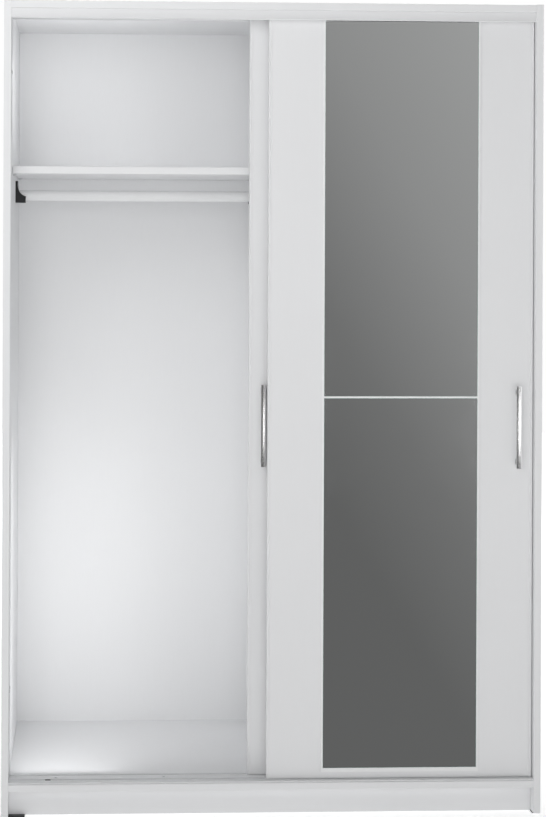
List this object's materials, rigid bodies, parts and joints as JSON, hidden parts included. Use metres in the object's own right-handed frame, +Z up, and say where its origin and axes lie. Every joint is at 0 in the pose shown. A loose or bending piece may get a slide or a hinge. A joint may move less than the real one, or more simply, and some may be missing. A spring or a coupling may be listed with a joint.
{
  "type": "sliding door wardrobe",
  "caption": "White sliding-door wardrobe with a mirrored front door, hanging rail, shelves and a set-back plinth.",
  "frame": {"origin": "on the floor, at the middle of the footprint", "axes": "+X to the right seen from the front, +Y from the doors to the back, +Z up; the doors face -Y"},
  "size_m": [1.2, 0.51, 1.806],
  "materials": {
    "white_board": "satin white melamine",
    "back_board": "matte white hardboard",
    "white_profile": "satin white",
    "track": "white powder coat",
    "rail": "white coated steel tube",
    "handle": "satin",
    "mirror": "polished",
    "black_plastic": "matte black",
    "white_plastic": "matte white",
    "roller": "nylon",
    "zinc": "zinc plated",
    "dowel": "raw beech",
    "soft_stop": "translucent grey"
  },
  "bodies": {
    "carcass": {"left_side_panel": "white_board", "right_side_panel": "white_board", "top_panel": "white_board", "bottom_panel": "white_board", "centre_partition": "white_board", "front_plinth": "white_board", "rear_plinth": "white_board", "back_panel_left": "back_board", "back_panel_right": "back_board", "back_joint_strip": "white_profile", "upper_shelf_left": "white_board", "upper_shelf_right": "white_board", "linen_shelf_lower": "white_board", "linen_shelf_middle": "white_board", "linen_shelf_upper": "white_board", "shelf_supports": "white_plastic", "hanging_rail": "rail", "rail_bracket_left": "black_plastic", "rail_bracket_right": "black_plastic", "rail_bracket_screws": "zinc", "top_track": "track", "bottom_track": "track", "track_screws": "zinc", "dowels": "dowel", "cam_locks": "zinc", "cam_bolts": "zinc", "floor_glides": "black_plastic", "wall_bracket_left": "zinc", "wall_bracket_right": "zinc", "wall_bracket_screws": "zinc", "door_bumpers": "soft_stop", "track_stops": "white_plastic"},
    "front_door": {"front_door_panel": "white_board", "front_door_left_profile": "white_profile", "front_door_right_profile": "white_profile", "front_door_handle": "handle", "front_door_screws": "zinc", "front_roller_housings": "white_plastic", "front_guide_housings": "white_plastic", "mirror_upper": "mirror", "mirror_lower": "mirror", "mirror_left_trim": "white_profile", "mirror_right_trim": "white_profile", "mirror_divider": "white_profile", "mirror_bottom_trim": "white_profile"},
    "rear_door": {"rear_door_panel": "white_board", "rear_door_left_profile": "white_profile", "rear_door_right_profile": "white_profile", "rear_door_handle": "handle", "rear_door_screws": "zinc", "rear_roller_housings": "white_plastic", "rear_guide_housings": "white_plastic"},
    "front_roller_left": {"front_roller_left": "roller"},
    "front_roller_right": {"front_roller_right": "roller"},
    "rear_roller_left": {"rear_roller_left": "roller"},
    "rear_roller_right": {"rear_roller_right": "roller"},
    "front_guide_left": {"front_guide_left": "white_plastic"},
    "front_guide_right": {"front_guide_right": "white_plastic"},
    "rear_guide_left": {"rear_guide_left": "white_plastic"},
    "rear_guide_right": {"rear_guide_right": "white_plastic"}
  },
  "joints": [
    {"name": "front_door_slide", "type": "slide", "parent": "carcass", "child": "front_door", "axis": [1, 0, 0], "range_m": [-0.5305, 0]},
    {"name": "rear_door_slide", "type": "slide", "parent": "carcass", "child": "rear_door", "axis": [1, 0, 0], "range_m": [-0.5305, 0]},
    {"name": "front_roller_left_spin", "type": "hinge", "parent": "front_door", "child": "front_roller_left", "pos_m": [0.0475, -0.232, 0.0858], "axis": [0, 1, 0], "continuous": true},
    {"name": "front_roller_right_spin", "type": "hinge", "parent": "front_door", "child": "front_roller_right", "pos_m": [0.5225, -0.232, 0.0858], "axis": [0, 1, 0], "continuous": true},
    {"name": "rear_roller_left_spin", "type": "hinge", "parent": "rear_door", "child": "rear_roller_left", "pos_m": [0.008, -0.2, 0.0858], "axis": [0, 1, 0], "continuous": true},
    {"name": "rear_roller_right_spin", "type": "hinge", "parent": "rear_door", "child": "rear_roller_right", "pos_m": [0.483, -0.2, 0.0858], "axis": [0, 1, 0], "continuous": true},
    {"name": "front_guide_left_press", "type": "slide", "parent": "front_door", "child": "front_guide_left", "axis": [0, 0, 1], "range_m": [-0.0065, 0], "stiffness_N_per_m": 300, "springref_m": 0.004},
    {"name": "front_guide_right_press", "type": "slide", "parent": "front_door", "child": "front_guide_right", "axis": [0, 0, 1], "range_m": [-0.0065, 0], "stiffness_N_per_m": 300, "springref_m": 0.004},
    {"name": "rear_guide_left_press", "type": "slide", "parent": "rear_door", "child": "rear_guide_left", "axis": [0, 0, 1], "range_m": [-0.0065, 0], "stiffness_N_per_m": 300, "springref_m": 0.004},
    {"name": "rear_guide_right_press", "type": "slide", "parent": "rear_door", "child": "rear_guide_right", "axis": [0, 0, 1], "range_m": [-0.0065, 0], "stiffness_N_per_m": 300, "springref_m": 0.004}
  ],
  "couplings": [
    {"joint": "front_roller_left_spin", "follows": "front_door_slide", "rad_per_m": 125},
    {"joint": "front_roller_right_spin", "follows": "front_door_slide", "rad_per_m": 125},
    {"joint": "rear_roller_left_spin", "follows": "rear_door_slide", "rad_per_m": 125},
    {"joint": "rear_roller_right_spin", "follows": "rear_door_slide", "rad_per_m": 125}
  ]
}
